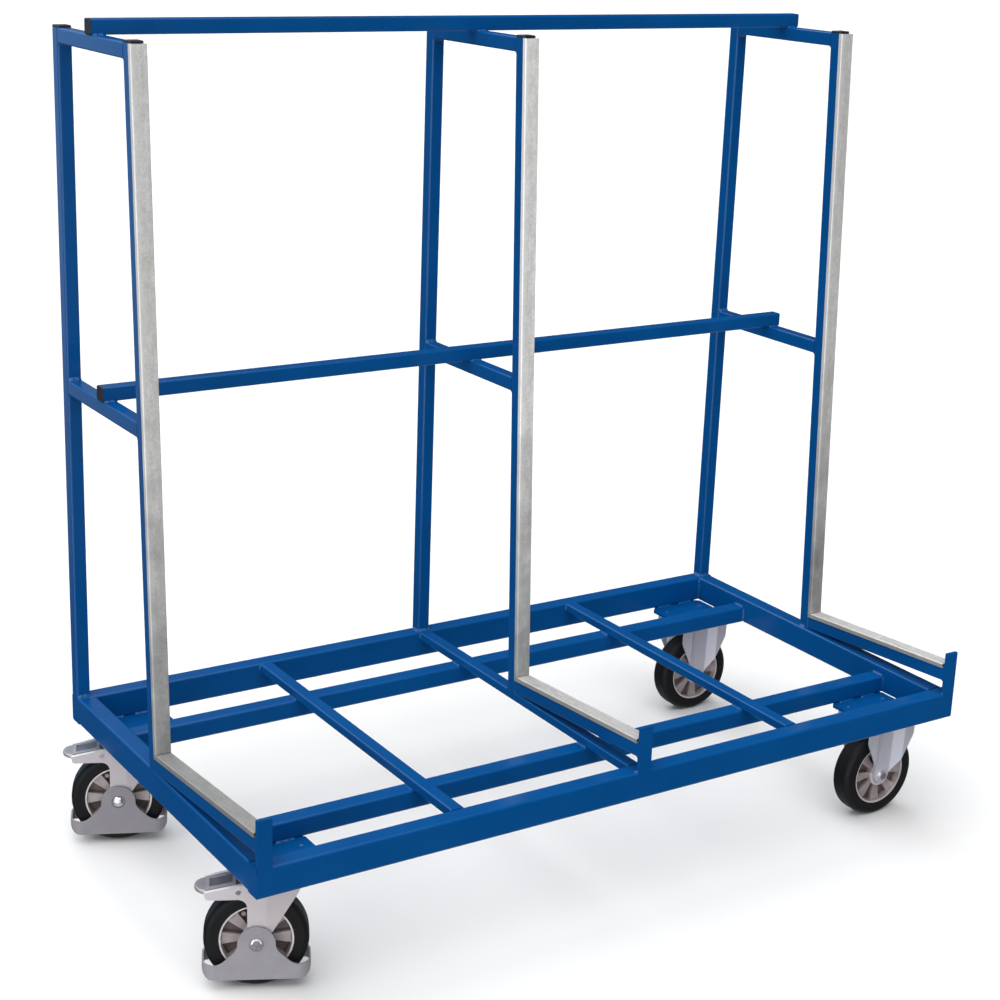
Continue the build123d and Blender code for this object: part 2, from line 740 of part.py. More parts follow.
def brake_shoe():
    low = wheel_radius + shoe_gap
    pad = Circle(low + shoe_thickness) - Circle(low)
    span = Rectangle(shoe_reach + shoe_pin_x, 2 * wheel_diameter, align=(Align.MIN, Align.MIN))
    pad = Pos(0, wheel_radius) * (pad & Pos(-shoe_reach, 0) * span)
    barrel = Pos(shoe_pin_x, shoe_pin_z) * Circle(shoe_barrel / 2)
    body = extrude(Plane.XZ * (pad + barrel), shoe_width / 2, both=True)
    bore = Rot(90, 0, 0) * Cylinder(shoe_pin_diameter / 2 + running_clearance, 2 * shoe_width)
    return body - Pos(shoe_pin_x, 0, shoe_pin_z) * bore


def guard_outline():
    """Side view of the foot guard: a low band that rises to an arch over the axle."""
    arch_top = wheel_radius + guard_arch_radius
    arch_side = (guard_arch_radius, wheel_radius)
    flare_end = (guard_flare_end, guard_band_top)
    with BuildSketch() as sketch:
        with BuildLine():
            ThreePointArc((-guard_arch_radius, wheel_radius), (0, arch_top), arch_side)
            flare_middle = (guard_flare_x, guard_flare_height)
            flare = Spline(arch_side, flare_middle, flare_end, tangents=[(0, -1), (1, 0)])
            mirror(flare, Plane.YZ)
            Polyline(
                flare_end,
                (guard_half_length, guard_band_top),
                (guard_half_length, guard_bottom),
                (-guard_half_length, guard_bottom),
                (-guard_half_length, guard_band_top),
                (-guard_flare_end, guard_band_top),
            )
        make_face()
        fillet(sketch.vertices().sort_by(Axis.Y)[:2], guard_bottom_radius)
    return sketch.sketch


def foot_guard():
    inner_length = guard_half_length - guard_wall
    inner_width = guard_half_width - guard_wall
    outer = RectangleRounded(2 * guard_half_length, 2 * guard_half_width, guard_corner)
    hollow = RectangleRounded(2 * inner_length, 2 * inner_width, guard_corner - guard_wall)
    body = extrude(outer - hollow, wheel_diameter)
    body &= extrude(Plane.XZ * guard_outline(), half_width, both=True)
    boss_depth = inner_width - leg_outer - guard_boss_clearance
    boss = Cylinder(guard_boss_diameter / 2, boss_depth)
    recess = Cylinder(guard_recess_diameter / 2, 2 * guard_recess_depth)
    for side in (-1, 1):
        body += across_wheel(Pos(0, 0, side * (inner_width - boss_depth / 2)) * boss)
        body -= across_wheel(Pos(0, 0, side * guard_half_width) * recess)
    return body - across_wheel(Cylinder(axle_diameter / 2 + running_clearance, 4 * guard_half_width))


def as_list(shape):
    return shape if isinstance(shape, list) else [shape]


def all_nodes():
    nodes = {
        "front_beam": front_or_rear_beam(-1),
        "rear_beam": front_or_rear_beam(1),
        "left_end_beam": end_beam(-1),
        "right_end_beam": end_beam(1),
        "beam_end_plates": beam_end_plates(),
        "cross_tubes": cross_tubes(),
        "front_inner_rail": inner_rail(-1),
        "rear_inner_rail": inner_rail(1),
        "caster_mount_plates": caster_mount_plates(),
        "post_ties": post_ties(),
        "front_stops": front_stops(),
        "top_rail": lengthwise_rail(post_top),
        "middle_rail": lengthwise_rail(middle_tie_top),
        "tube_end_plugs": tube_end_plugs(),
        "caster_screws": caster_screws(),
    }
    for name, x in frame_places.items():
        nodes[f"{name}_rear_post"] = rear_post(x)
        nodes[f"{name}_lean_post"] = lean_post(x)
        nodes[f"{name}_arm"] = arm(x)
        nodes[f"{name}_lean_strip"] = lean_strip(x)
        nodes[f"{name}_arm_strip"] = arm_strip(x)
    turns = {"front_left": front_swivel_angle, "rear_left": rear_swivel_angle}
    for name, (x, y) in caster_places().items():
        top = Pos(x, y, 0)
        if name in turns:
            below = top * Rot(0, 0, turns[name]) * Pos(-trail, 0, 0)
            pieces = {
                "fork": swivel_fork(),
                "fork_pins": fork_pins(name == "rear_left"),
                "swivel_balls": swivel_balls(),
                "foot_guard": foot_guard(),
                "pedal": brake_pedal(),
                "brake_shoe": brake_shoe(),
            }
            nodes[f"{name}_top_plate"] = top * swivel_top_plate()
        else:
            below = top
            pieces = {"bracket": fixed_bracket(), "axle": axle(bracket_gap, bracket_outer, False)}
        pieces.update({"rim": rim(), "tyre": tyre(), "bearings": bearings()})
        for piece, shape in pieces.items():
            nodes[f"{name}_{piece}"] = [below * solid for solid in as_list(shape)]
    return nodes


def main():
    os.makedirs("parts", exist_ok=True)
    nodes = {}
    for name, shape in all_nodes().items():
        nodes[name] = [solid for piece in as_list(shape) for solid in piece.solids()]
    box = Compound([solid for solids in nodes.values() for solid in solids]).bounding_box()
    centre = Pos(-(box.min.X + box.max.X) / 2, -(box.min.Y + box.max.Y) / 2, 0)
    print("origin moved by", centre.position)
    for name, solids in nodes.items():
        moved = [centre * solid for solid in solids]
        export_step(moved[0] if len(moved) == 1 else Compound(moved), f"parts/{name}.step")


main()
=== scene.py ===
import json
import math

import bmesh
import bpy
from mathutils import Matrix, Vector


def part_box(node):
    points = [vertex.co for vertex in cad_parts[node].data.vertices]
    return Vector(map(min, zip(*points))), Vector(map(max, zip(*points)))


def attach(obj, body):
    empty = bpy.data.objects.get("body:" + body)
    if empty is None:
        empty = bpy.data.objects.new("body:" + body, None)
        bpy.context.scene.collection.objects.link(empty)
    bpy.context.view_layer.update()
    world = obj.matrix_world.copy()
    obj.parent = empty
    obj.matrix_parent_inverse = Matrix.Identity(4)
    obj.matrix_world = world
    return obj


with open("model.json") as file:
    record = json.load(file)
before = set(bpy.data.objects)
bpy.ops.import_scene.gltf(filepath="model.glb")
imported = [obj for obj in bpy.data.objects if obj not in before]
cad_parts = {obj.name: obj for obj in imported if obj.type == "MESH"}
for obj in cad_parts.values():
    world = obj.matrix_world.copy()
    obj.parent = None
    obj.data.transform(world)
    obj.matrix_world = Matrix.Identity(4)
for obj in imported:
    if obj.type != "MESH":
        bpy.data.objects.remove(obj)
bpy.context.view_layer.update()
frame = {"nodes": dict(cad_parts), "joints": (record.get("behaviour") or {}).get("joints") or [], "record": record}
nodes = frame["nodes"]
rows = frame["record"]["subparts"]
joints = {joint["name"]: joint for joint in frame["joints"]}

# Middle of the trolley's frame along its length; the overall box is longer on the caster side
beam_low, beam_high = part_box("front_beam")
middle_x = (beam_low.x + beam_high.x) / 2
half_length = (beam_high.x - beam_low.x) / 2

# Places of the upper frames, in metres
post_low, post_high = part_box("middle_lean_post")
post_half = (post_high.x - post_low.x) / 2
post_spacing = half_length - post_half
post_xs = [middle_x - post_spacing, middle_x, middle_x + post_spacing]


# Material helpers
def feed(tree, socket, value):
    """Links the output of a node to a socket, or sets the socket to a constant."""
    if isinstance(value, bpy.types.NodeSocket):
        tree.links.new(value, socket)
    else:
        socket.default_value = value


def add(tree, kind, settings=None, **inputs):
    """Adds a shader node, sets its options, and feeds its inputs by name."""
    node = tree.nodes.new(kind)
    for key, value in (settings or {}).items():
        setattr(node, key, value)
    for key, value in inputs.items():
        feed(tree, node.inputs[key.replace("_", " ")], value)
    return node


def combine(tree, kind, operation, *values):
    """Adds a node of arithmetic and feeds its inputs in their order."""
    node = add(tree, kind, {"operation": operation})
    for socket, value in zip(node.inputs, values):
        feed(tree, socket, value)
    return node


def math_node(tree, operation, *values):
    return combine(tree, "ShaderNodeMath", operation, *values).outputs["Value"]


def remap(tree, value, low_in, high_in, low_out, high_out, kind="LINEAR"):
    node = add(
        tree, "ShaderNodeMapRange", {"interpolation_type": kind},
        Value=value, From_Min=low_in, From_Max=high_in, To_Min=low_out, To_Max=high_out,
    )
    return node.outputs["Result"]


def noise(tree, where, scale, detail=2.0, roughness=0.5):
    """Noise at an even scale, or at a scale for each axis when three numbers are given."""
    if isinstance(scale, tuple):
        where, scale = combine(tree, "ShaderNodeVectorMath", "MULTIPLY", where, scale).outputs["Vector"], 1.0
    node = add(tree, "ShaderNodeTexNoise", Vector=where, Scale=scale, Detail=detail, Roughness=roughness)
    return node.outputs["Fac"]


def clouds(tree, where, scale, detail, roughness=0.5, low=0.0, high=1.0):
    """Noise stretched so that most of it runs from low to high."""
    return remap(tree, noise(tree, where, scale, detail, roughness), 0.3, 0.7, low, high)


def mix(tree, factor, first, second):
    node = add(tree, "ShaderNodeMix", {"data_type": "RGBA"})
    for index, value in ((0, factor), (6, first), (7, second)):
        feed(tree, node.inputs[index], value)
    return node.outputs[2]


def bump(tree, height, depth, strength):
    return add(tree, "ShaderNodeBump", Strength=strength, Distance=depth, Height=height).outputs["Normal"]


def upward(tree):
    """How far a face looks up, from its normal."""
    facing = add(tree, "ShaderNodeNewGeometry").outputs["Normal"]
    return add(tree, "ShaderNodeSeparateXYZ", Vector=facing).outputs["Z"]


def place_along(tree, where, point, direction):
    """Distance of a place from a point, measured along a direction."""
    offset = combine(tree, "ShaderNodeVectorMath", "SUBTRACT", where, point).outputs["Vector"]
    return combine(tree, "ShaderNodeVectorMath", "DOT_PRODUCT", offset, direction).outputs["Value"]


def grey(level, blue=0.0):
    return (level - blue / 2, level, level + blue, 1.0)


def tinted(level, parts):
    return (*[level * part for part in parts], 1.0)


def start_material(name, metallic=0.0, specular=0.5):
    material = bpy.data.materials.new(name)
    material.use_nodes = True
    tree = material.node_tree
    shader = tree.nodes["Principled BSDF"]
    shader.inputs["Metallic"].default_value = metallic
    shader.inputs["Specular IOR Level"].default_value = specular
    where = tree.nodes.new("ShaderNodeTexCoord").outputs["Object"]
    return material, tree, shader, where


def finish_material(tree, shader, colour, roughness, normal):
    tree.links.new(colour, shader.inputs["Base Color"])
    tree.links.new(roughness, shader.inputs["Roughness"])
    tree.links.new(normal, shader.inputs["Normal"])


# Powder coat: even blue with a fine orange-peel skin and faint patches of thinner coat
def blue_paint():
    material, tree, shader, where = start_material("blue_powder_coat", 0.0, 0.36)
    patches = clouds(tree, where, 9.0, 3.0)
    colour = mix(tree, patches, (0.0004, 0.064, 0.230, 1.0), (0.0008, 0.071, 0.254, 1.0))
    roughness = clouds(tree, where, 12.0, 2.0, low=0.19, high=0.23)
    normal = bump(tree, noise(tree, where, 300.0, 1.0), 0.00004, 0.3)
    finish_material(tree, shader, colour, roughness, normal)
    return material


# Galvanised strip: streaks and smears along its length, crystal spangle, specks and brown stains
def galvanised(name, streak_scale, smear_scale, light, metallic, painted_light_and_tone):
    material, tree, shader, where = start_material(name, metallic)
    streaks = clouds(tree, where, streak_scale, 4.0, 0.6)
    colour = mix(tree, streaks, grey(light * 0.86, -0.01), grey(light))
    spangle = add(tree, "ShaderNodeTexVoronoi", {"feature": "F1"}, Vector=where, Scale=210.0, Randomness=1.0)
    cell = add(tree, "ShaderNodeSeparateColor", Color=spangle.outputs["Color"]).outputs["Red"]
    colour = mix(tree, remap(tree, cell, 0.0, 1.0, 0.0, 0.32), colour, tinted(light, (0.50, 0.49, 0.45)))
    specks = remap(tree, noise(tree, where, 260.0), 0.60, 0.72, 0.0, 0.45)
    colour = mix(tree, specks, colour, grey(light * 0.40))
    stain = remap(tree, noise(tree, where, 13.0, 5.0, 0.75), 0.56, 0.74, 0.0, 0.45)
    colour = mix(tree, stain, colour, tinted(light, (0.66, 0.60, 0.47)))
    smear = remap(tree, noise(tree, where, smear_scale, 5.0, 0.7), 0.38, 0.66, 0.0, 0.42)
    colour = mix(tree, smear, colour, tinted(light, (0.46, 0.47, 0.42)))
    # painted highlight and painted shade, and darkening toward the foot, from the function passed in
    colour = painted_light_and_tone(tree, where, colour, light)
    roughness = remap(tree, streaks, 0.0, 1.0, 0.48, 0.38)
    normal = bump(tree, noise(tree, where, 160.0, 3.0), 0.00008, 0.4)
    finish_material(tree, shader, colour, roughness, normal)
    return material


def upright_painted_light_and_tone(tree, where, colour, light):
    """Painted highlight along the left edge, painted shade on the outer strips, and darker toward the foot."""
    x, _, height = add(tree, "ShaderNodeSeparateXYZ", Vector=where).outputs
    offset = math_node(tree, "SUBTRACT", x, middle_x)
    across = math_node(tree, "WRAP", offset, post_spacing / 2, -post_spacing / 2)
    # painted highlight: a pale band along the left edge of each strip
    colour = mix(tree, remap(tree, across, -0.004, -0.016, 0.0, 0.55), colour, grey(1.0))
    # darker toward the foot, with a ragged edge
    ragged = clouds(tree, where, 9.0, 4.0, 0.6, -0.18, 0.18)
    foot_darkening = remap(tree, math_node(tree, "ADD", height, ragged), 0.30, 0.95, 0.73, 0.0)
    # darker toward the foot; painted shade on the outer strips
    for share in (foot_darkening, remap(tree, x, 0.3, 0.8, 0.0, 0.28), remap(tree, x, -0.3, -0.8, 0.0, 0.22)):
        colour = mix(tree, share, colour, grey(light * 0.10))
    return colour


def level_painted_shade_and_stain(tree, where, colour, light):
    """Painted shade toward the left strip; the sides dark and brownish, partly a brown stain and partly painted
    shade, most of all on the right.
    """
    x = add(tree, "ShaderNodeSeparateXYZ", Vector=where).outputs["X"]
    # painted shade: darker toward the left strip
    colour = mix(tree, remap(tree, x, 0.25, -0.85, 0.0, 0.60), colour, grey(light * 0.10))
    # sides that do not look up: brown stain and painted shade
    side = remap(tree, upward(tree), 0.8, 0.2, 0.0, 1.0)
    share = math_node(tree, "MULTIPLY", side, remap(tree, x, -0.85, 0.25, 0.25, 0.55))
    return mix(tree, share, colour, tinted(light, (0.22, 0.20, 0.17)))


# Zinc-plated pressed steel: satin metal with a cloudy passivation tint, and a painted highlight on faces that look
# up
def zinc(name, light, metallic, rough_low, rough_high, warm=(1.02, 0.97, 1.02), cool=(0.93, 0.93, 1.04), edge=0.0):
    material, tree, shader, where = start_material(name, metallic)
    colour = mix(tree, clouds(tree, where, 22.0, 4.0, 0.6), tinted(light, warm), tinted(light, cool))
    scuff = remap(tree, noise(tree, where, 140.0, 3.0, 0.7), 0.60, 0.74, 0.0, 0.15)
    colour = mix(tree, scuff, colour, grey(light * 0.6))
    # painted highlight: faces that look up made paler, as strong as edge
    colour = mix(tree, remap(tree, upward(tree), 0.35, 0.85, 0.0, edge), colour, grey(0.97))
    roughness = clouds(tree, where, 90.0, 3.0, low=rough_low, high=rough_high)
    normal = bump(tree, noise(tree, where, 500.0), 0.00005, 0.3)
    finish_material(tree, shader, colour, roughness, normal)
    return material


# Brake pedal: grey pressed sheet whose sunk panel in the tread is darkened with painted shade
panel_middle = 0.0317
panel_half_length = 0.0216
panel_half_width = 0.0163
panel_edge = 0.0005


def pedal_sheet(name, pin, outward, pin_axis):
    material, tree, shader, where = start_material(name, 0.4)
    cloud = clouds(tree, where, 30.0, 4.0, 0.6)
    colour = mix(tree, cloud, (0.30, 0.29, 0.31, 1.0), (0.37, 0.355, 0.38, 1.0))
    reach = math_node(tree, "SUBTRACT", place_along(tree, where, pin, outward), panel_middle)
    inside = []
    for place, half in ((reach, panel_half_length), (place_along(tree, where, pin, pin_axis), panel_half_width)):
        distance = math_node(tree, "ABSOLUTE", place)
        inside.append(remap(tree, distance, half + panel_edge, half - panel_edge, 0.0, 1.0))
    # painted shade in the sunk panel of the tread
    painted_recess_shade = mix(tree, cloud, (0.085, 0.09, 0.105, 1.0), (0.14, 0.145, 0.165, 1.0))
    colour = mix(tree, math_node(tree, "MULTIPLY", *inside), colour, painted_recess_shade)
    roughness = clouds(tree, where, 90.0, 3.0, low=0.30, high=0.42)
    normal = bump(tree, noise(tree, where, 500.0), 0.00005, 0.3)
    finish_material(tree, shader, colour, roughness, normal)
    return material


# Die-cast aluminium wheel centre: dull grain, painted shade in the pockets and a bright ring on the outermost face
pocket_depth, rib_depth = 0.006, 0.0155
ring_start, ring_depth = 0.0215, 0.0242


def cast_aluminium(name, centre, axle):
    material, tree, shader, where = start_material(name, 0.5)
    depth = math_node(tree, "ABSOLUTE", place_along(tree, where, centre, axle))
    cloud = clouds(tree, where, 45.0, 4.0, 0.65)
    # painted shade: the pockets darker than the ribs, by depth
    pocket = mix(tree, cloud, (0.13, 0.105, 0.105, 1.0), (0.19, 0.155, 0.155, 1.0))
    rib = mix(tree, cloud, (0.40, 0.345, 0.35, 1.0), (0.54, 0.48, 0.485, 1.0))
    colour = mix(tree, remap(tree, depth, pocket_depth, rib_depth, 0.0, 1.0), pocket, rib)
    # a bright ring on the outermost face
    outer_ring_mask = remap(tree, depth, ring_start, ring_depth, 0.0, 1.0)
    colour = mix(tree, outer_ring_mask, colour, (0.84, 0.79, 0.80, 1.0))
    roughness = clouds(tree, where, 120.0, 3.0, low=0.30, high=0.44)
    normal = bump(tree, noise(tree, where, 900.0, 3.0), 0.00008, 0.4)
    finish_material(tree, shader, colour, roughness, normal)
    return material


# Moulded materials: rubber tyre, grey guard plastic and black plug plastic
def moulded(name, dark, pale, rough_low, rough_high, grain, depth, specular=0.4):
    material, tree, shader, where = start_material(name, 0.0, specular)
    colour = mix(tree, clouds(tree, where, 30.0, 4.0, 0.6), dark, pale)
    roughness = clouds(tree, where, 80.0, 3.0, low=rough_low, high=rough_high)
    normal = bump(tree, noise(tree, where, grain, 3.0), depth, 0.5)
    finish_material(tree, shader, colour, roughness, normal)
    return material


def guard_plastic(name, dark, pale):
    return moulded(name, dark, pale, 0.42, 0.55, 1100.0, 0.00005)


# Finishes for the slots of the record
paint = blue_paint()
# warm and cool tints of the forks, and the strength of their painted top highlight
fork_tints_and_top_highlight = (1.03, 0.96, 0.99), (0.98, 0.94, 1.00), 0.8
finishes = {
    "blue_paint": paint,
    "galvanised_steel": galvanised(
        "galvanised_sheet_upright", (170.0, 60.0, 2.5), (75.0, 75.0, 22.0), 1.0, 0.30, upright_painted_light_and_tone
    ),
    "zinc_steel": zinc("zinc_plated_sheet", 0.66, 0.38, 0.34, 0.44, *fork_tints_and_top_highlight),
    "bright_fasteners": zinc("zinc_plated_fasteners", 0.86, 0.85, 0.16, 0.26),
    "bearing_steel": zinc("bearing_shield", 0.42, 0.7, 0.25, 0.40),
    "rubber_tyre": moulded("tyre_rubber", grey(0.0035, 0.001), grey(0.006, 0.001), 0.50, 0.62, 650.0, 0.0001, 0.22),
    "grey_plastic": guard_plastic("guard_plastic", (0.280, 0.268, 0.300, 1.0), (0.310, 0.300, 0.328, 1.0)),
    "black_plastic": moulded("plug_plastic", grey(0.005), grey(0.009), 0.42, 0.52, 900.0, 0.00006),
}

# Finishes of single nodes: a rear left caster darkened with painted shade, level strips, fixed brackets, wheel
# centres and pedals
special = {
    # painted shade: darker copies of the fork and guard finishes for the rear left caster
    "rear_left_fork": zinc("zinc_plated_sheet_painted_shade", 0.59, 0.38, 0.36, 0.46, *fork_tints_and_top_highlight),
    "rear_left_foot_guard": guard_plastic(
        "guard_plastic_painted_shade", (0.240, 0.230, 0.256, 1.0), (0.266, 0.257, 0.281, 1.0)
    ),
}
# fixed brackets: a bluer tint and a weaker painted top highlight
bracket_finish = zinc("zinc_plated_bracket", 0.58, 0.30, 0.46, 0.56, (0.98, 0.95, 1.04), (0.88, 0.92, 1.10), 0.5)
arm_strip_finish = galvanised(
    "galvanised_sheet_level", (170.0, 2.5, 60.0), (75.0, 22.0, 75.0), 0.87, 0.40, level_painted_shade_and_stain
)
for row in rows:
    if row["node"].endswith("arm_strip"):
        special[row["node"]] = arm_strip_finish
    if row["node"].endswith("_bracket"):
        special[row["node"]] = bracket_finish
for name, joint in joints.items():
    if name.endswith("_wheel_spin"):
        wheel = name.removesuffix("_wheel_spin")
        special[f"{wheel}_rim"] = cast_aluminium(f"{wheel}_die_cast_aluminium", joint["pos_m"], joint["axis"])
    if name.endswith("_pedal_press"):
        caster = name.removesuffix("_pedal_press")
        outward = Vector(joint["pos_m"]) - Vector(joints[f"{caster}_swivel_turn"]["pos_m"])
        outward.z = 0
        finish = pedal_sheet(f"{caster}_pedal_sheet", joint["pos_m"], outward.normalized(), joint["axis"])
        special[f"{caster}_pedal"] = finish
for row in rows:
    mesh = nodes[row["node"]].data
    mesh.materials.clear()
    mesh.materials.append(special.get(row["node"]) or finishes[row["material_slot"]])


# Weld beads, under the same paint as the tubes; each ripple is a share of the size and its turn per metre
bead_step = 0.0015
bead_sink = 0.0006
bead_margin = 0.0005
end_share = 0.35
fine_share, fine_turn = 0.06, 1150.0
coarse_share, coarse_turn = 0.05, 370.0
bead_curve = ((1.0, 0.0), (0.72, 0.17), (0.43, 0.43), (0.17, 0.72), (0.0, 1.0))
right, up, forward, back = Vector((1, 0, 0)), Vector((0, 0, 1)), Vector((0, -1, 0)), Vector((0, 1, 0))


def bead(mesh, start, end, first, second, size):
    """A rippled fillet along an inside corner; first and second point away from it along the two faces."""
    start, end, first, second = (Vector(v) for v in (start, end, first, second))
    length = (end - start).length
    count = max(6, round(length / bead_step))
    rings = []
    for step in range(count + 1):
        along = length * step / count
        near_end = max(0.0, min(along, length - along)) / size
        taper = min(1.0, end_share + (1 - end_share) * math.sqrt(near_end))
        fine = fine_share * math.sin(along * fine_turn + size * 4e5)
        coarse = coarse_share * math.sin(along * coarse_turn + start.x * 90)
        reach = size * taper * (1 + fine + coarse)
        corner = start.lerp(end, step / count)
        ring = [corner + first * (reach * a - bead_sink) + second * (reach * b - bead_sink) for a, b in bead_curve]
        ring.append(corner - (first + second) * 2 * bead_sink)
        rings.append([mesh.verts.new(point) for point in ring])
    for before, after in zip(rings, rings[1:]):
        for index in range(len(before)):
            following = (index + 1) % len(before)
            mesh.faces.new((before[index], before[following], after[following], after[index]))
    mesh.faces.new(rings[0])
    mesh.faces.new(reversed(rings[-1]))


def bead_over(mesh, x, y, z, first, second, size):
    """A bead along X, over the width of an upper frame's tube."""
    reach = post_half - bead_margin
    bead(mesh, (x - reach, y, z), (x + reach, y, z), first, second, size)


def lump(mesh, place, size):
    """A spot of weld metal: a ball pressed flat, part of it sunk in the steel."""
    shape = Matrix.Translation(place) @ Matrix.Diagonal((*size, 1.0))
    bmesh.ops.create_icosphere(mesh, subdivisions=3, radius=1.0, matrix=shape)


def weld_piece(name, mesh, smooth=True):
    bmesh.ops.recalc_face_normals(mesh, faces=mesh.faces)
    for face in mesh.faces:
        face.smooth = smooth
    data = bpy.data.meshes.new(name)
    mesh.to_mesh(data)
    mesh.free()
    data.materials.append(paint)
    piece = bpy.data.objects.new(name, data)
    bpy.context.scene.collection.objects.link(piece)
    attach(piece, "frame")


# Places that the welds take from the CAD
frame_top = post_low.z
frame_bottom = beam_low.z
post_top = post_high.z
rear_low, rear_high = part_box("middle_rear_post")
rear_front = rear_low.y
half_width = rear_high.y
stop_low, stop_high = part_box("front_stops")
stop_rear = -half_width + (stop_high.y - stop_low.y)
facing = {mount["name"]: Vector(mount["axis"]) for mount in frame["record"]["mounts"]}
lean_slope = -facing["middle_lean_rest"].z / facing["middle_lean_rest"].y
lean_up = Vector((0, lean_slope, 1)).normalized()
arm_slope = facing["middle_arm_rest"].y / facing["middle_arm_rest"].z
under_arm = Vector((0, 1, -arm_slope)).normalized()
arm_low = frame_top + (post_low.y - stop_rear) * arm_slope


def lean_rear(z):
    return post_high.y + (z - post_top) * lean_slope


def inner_sides(x):
    """Sides of an upper frame that are not flush with the end of the trolley."""
    return [side for side in (-1, 1) if abs(x + side * post_half - middle_x) < half_length - bead_margin]


# Ties to posts, and rails to ties
tie_bead = 0.0080
lean_tie_bead = 0.0095
rail_bead = 0.0075
rail_side_bead = 0.0070
rail_rounding = 0.0025
rail_inset = 0.003
tie_welds = bmesh.new()
for x in post_xs:
    for rail in ("middle_rail", "top_rail"):
        rail_low, rail_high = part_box(rail)
        top = rail_low.z
        bottom = top - 2 * post_half
        bead_over(tie_welds, x, lean_rear(bottom), bottom, back, -lean_up, lean_tie_bead)
        bead_over(tie_welds, x, rear_front, bottom, forward, -up, tie_bead)
        if rail == "middle_rail":
            bead_over(tie_welds, x, lean_rear(top), top, back, lean_up, tie_bead)
            bead_over(tie_welds, x, rear_front, top, forward, up, tie_bead)
        bead_over(tie_welds, x, rail_low.y + rail_rounding, top, forward, up, rail_bead)
        bead_over(tie_welds, x, rail_high.y - rail_rounding, top, back, up, rail_bead)
        for side in inner_sides(x):
            edge = x + side * (post_half - rail_rounding)
            start, end = (edge, rail_low.y + rail_inset, top), (edge, rail_high.y - rail_inset, top)
            bead(tie_welds, start, end, side * right, -up, rail_side_bead)
weld_piece("tie_welds", tie_welds)

# Feet of the posts, and the stops on the front beam
foot_bead = 0.0070
lean_foot_bead = 0.0080
arm_bead = 0.0110
side_bead = 0.0065
front_inset = 0.003
rear_inset = 0.005
lean_foot_run = 0.02
spot_size = (0.006, 0.006, 0.005)
spot_offset = (-0.0015, 0.006, -0.001)
foot_welds = bmesh.new()
foot_y = lean_rear(frame_top)
for x in post_xs:
    bead_over(foot_welds, x, foot_y, frame_top, back, lean_up, lean_foot_bead)
    bead_over(foot_welds, x, rear_front, frame_top, forward, up, foot_bead)
    bead_over(foot_welds, x, stop_rear, frame_top, back, up, foot_bead)
    bead_over(foot_welds, x, stop_rear, arm_low, under_arm, -up, arm_bead)
    spans = [(rear_front, half_width - rear_inset), (-half_width + front_inset, stop_rear)]
    if x == middle_x:
        lump(foot_welds, Vector((x - post_half, -half_width, frame_top)) + Vector(spot_offset), spot_size)
    else:
        spans.append((foot_y - lean_foot_run, foot_y))
    for side in inner_sides(x):
        edge = x + side * post_half
        for near, far in spans:
            bead(foot_welds, (edge, near, frame_top), (edge, far, frame_top), side * right, up, side_bead)
weld_piece("foot_welds", foot_welds)

# Weld metal under the stops, ground flush with the front of the beam
edge_fill = 0.0052
stop_welds = bmesh.new()
for x in post_xs:
    centre = Vector((x, -half_width + edge_fill / 2, frame_top - edge_fill / 2))
    shape = Matrix.Translation(centre) @ Matrix.Diagonal((2 * post_half, edge_fill, edge_fill, 1.0))
    bmesh.ops.create_cube(stop_welds, size=1.0, matrix=shape)
weld_piece("stop_welds", stop_welds, smooth=False)

# Base frame: corners of the beams, ends of the inner rails and of the cross tubes, and their crossings
corner_bead = 0.0060
inner_rail_bead = 0.0050
cross_bead = 0.0045
end_inset = 0.004
foot_inset = 0.005
tube_inset = 0.003
tubes_low, tubes_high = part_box("cross_tubes")
tube_spacing = (tubes_high.x - tubes_low.x) / 2 - post_half
inner_low, inner_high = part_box("rear_inner_rail")
end_low, end_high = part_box("right_end_beam")
beam_inner_y = end_high.y
end_inner_x = end_low.x - middle_x
rail_top = inner_high.z
base_welds = bmesh.new()
for side_y in (-1, 1):
    outward = side_y * back
    beam_y = side_y * beam_inner_y
    near_y, far_y = side_y * inner_low.y, side_y * inner_high.y
    crossing = side_y * (inner_low.y + end_inset), side_y * (inner_high.y - end_inset)
    for side_x in (-1, 1):
        x = middle_x + side_x * end_inner_x
        inwards = -side_x * right
        start, end = (x, beam_y, frame_bottom + end_inset), (x, beam_y, frame_top - end_inset)
        bead(base_welds, start, end, inwards, -outward, corner_bead)
        for y, away in ((near_y, -outward), (far_y, outward)):
            start, end = (x, y, frame_bottom + foot_inset), (x, y, rail_top - end_inset)
            bead(base_welds, start, end, away, inwards, inner_rail_bead)
        start, end = ((x, y, rail_top) for y in crossing)
        bead(base_welds, start, end, inwards, up, inner_rail_bead)
    for offset in (-tube_spacing, 0.0, tube_spacing):
        for side_x in (-1, 1):
            sideways = side_x * right
            x = middle_x + offset + side_x * post_half
            start, end = (x, beam_y, rail_top + tube_inset), (x, beam_y, frame_top - tube_inset)
            bead(base_welds, start, end, sideways, -outward, cross_bead)
            start, end = ((x, y, rail_top) for y in crossing)
            bead(base_welds, start, end, sideways, up, cross_bead)
weld_piece("base_welds", base_welds)

# Stitch welds of the caster mount plates on the beams and the inner rails
plate_bead = 0.0045
plate_offset = joints["front_right_wheel_spin"]["pos_m"][0] - middle_x
stitch_offset = 0.033
stitch = 0.043
plate_welds = bmesh.new()
for side_y in (-1, 1):
    outward = side_y * back
    for side_x in (-1, 1):
        for side in (-1, 1):
            x = middle_x + side_x * plate_offset + side * stitch_offset
            for y, away in ((beam_inner_y, -outward), (inner_high.y, outward)):
                start = (x - stitch / 2, side_y * y, frame_bottom)
                end = (x + stitch / 2, side_y * y, frame_bottom)
                bead(plate_welds, start, end, away, up, plate_bead)
weld_piece("plate_welds", plate_welds)

